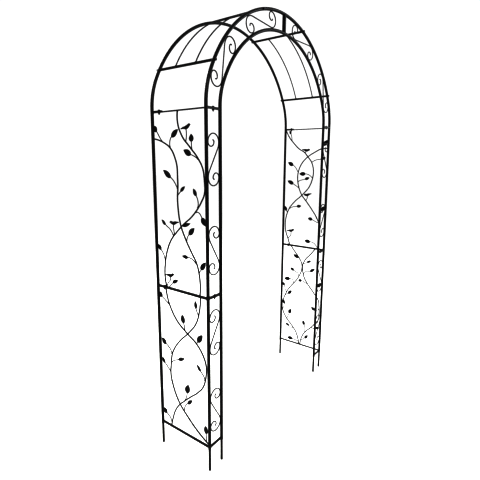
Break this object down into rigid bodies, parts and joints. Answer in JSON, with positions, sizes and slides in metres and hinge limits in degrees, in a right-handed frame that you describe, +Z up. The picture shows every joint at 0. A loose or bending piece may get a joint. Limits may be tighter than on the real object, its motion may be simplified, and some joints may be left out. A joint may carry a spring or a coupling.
{
  "type": "garden trellis arch",
  "caption": "Free-standing round-topped garden arch of black painted steel, with scrolled front strips and side panels of vines, leaves and birds.",
  "frame": {"origin": "on the ground, in the middle of the six feet's outline", "axes": "+Z up, +X across the path towards the right pier, +Y along the path, from the two-ring face at -Y to the single-ring face at +Y"},
  "size_m": [1.326, 0.379, 2.3993],
  "materials": {
    "black_frame": "satin",
    "fasteners": "satin",
    "bare_steel": "brushed"
  },
  "bodies": {
    "root": {"left_lower_back_post": "black_frame", "left_lower_outer_post": "black_frame", "left_lower_inner_post": "black_frame", "left_lower_side_rails": "black_frame", "left_lower_front_rails": "black_frame", "left_lower_vines": "black_frame", "left_lower_leaf_stalks": "black_frame", "left_lower_leaves": "black_frame", "left_lower_scrolls": "black_frame", "left_upper_back_post": "black_frame", "left_upper_outer_post": "black_frame", "left_upper_inner_post": "black_frame", "left_upper_side_rails": "black_frame", "left_upper_front_rails": "black_frame", "left_upper_vines": "black_frame", "left_upper_leaf_stalks": "black_frame", "left_upper_leaves": "black_frame", "left_upper_scrolls": "black_frame", "left_upper_birds": "black_frame", "left_outer_ring": "black_frame", "left_inner_ring": "black_frame", "left_back_ring": "black_frame", "left_arch_feet": "black_frame", "left_cross_bars": "black_frame", "left_roof_wires": "black_frame", "left_arch_scrolls": "black_frame", "left_crown_flange": "black_frame", "right_lower_back_post": "black_frame", "right_lower_outer_post": "black_frame", "right_lower_inner_post": "black_frame", "right_lower_side_rails": "black_frame", "right_lower_front_rails": "black_frame", "right_lower_vines": "black_frame", "right_lower_leaf_stalks": "black_frame", "right_lower_leaves": "black_frame", "right_lower_scrolls": "black_frame", "right_upper_back_post": "black_frame", "right_upper_outer_post": "black_frame", "right_upper_inner_post": "black_frame", "right_upper_side_rails": "black_frame", "right_upper_front_rails": "black_frame", "right_upper_vines": "black_frame", "right_upper_leaf_stalks": "black_frame", "right_upper_leaves": "black_frame", "right_upper_scrolls": "black_frame", "right_upper_birds": "black_frame", "right_outer_ring": "black_frame", "right_inner_ring": "black_frame", "right_back_ring": "black_frame", "right_arch_feet": "black_frame", "right_cross_bars": "black_frame", "right_roof_wires": "black_frame", "right_arch_scrolls": "black_frame", "right_crown_flange": "black_frame", "joint_bolts": "fasteners", "joint_nuts": "fasteners", "post_spigots": "bare_steel", "ring_spigots": "bare_steel", "crown_spigot": "bare_steel", "ground_stakes": "black_frame"}
  },
  "joints": []
}
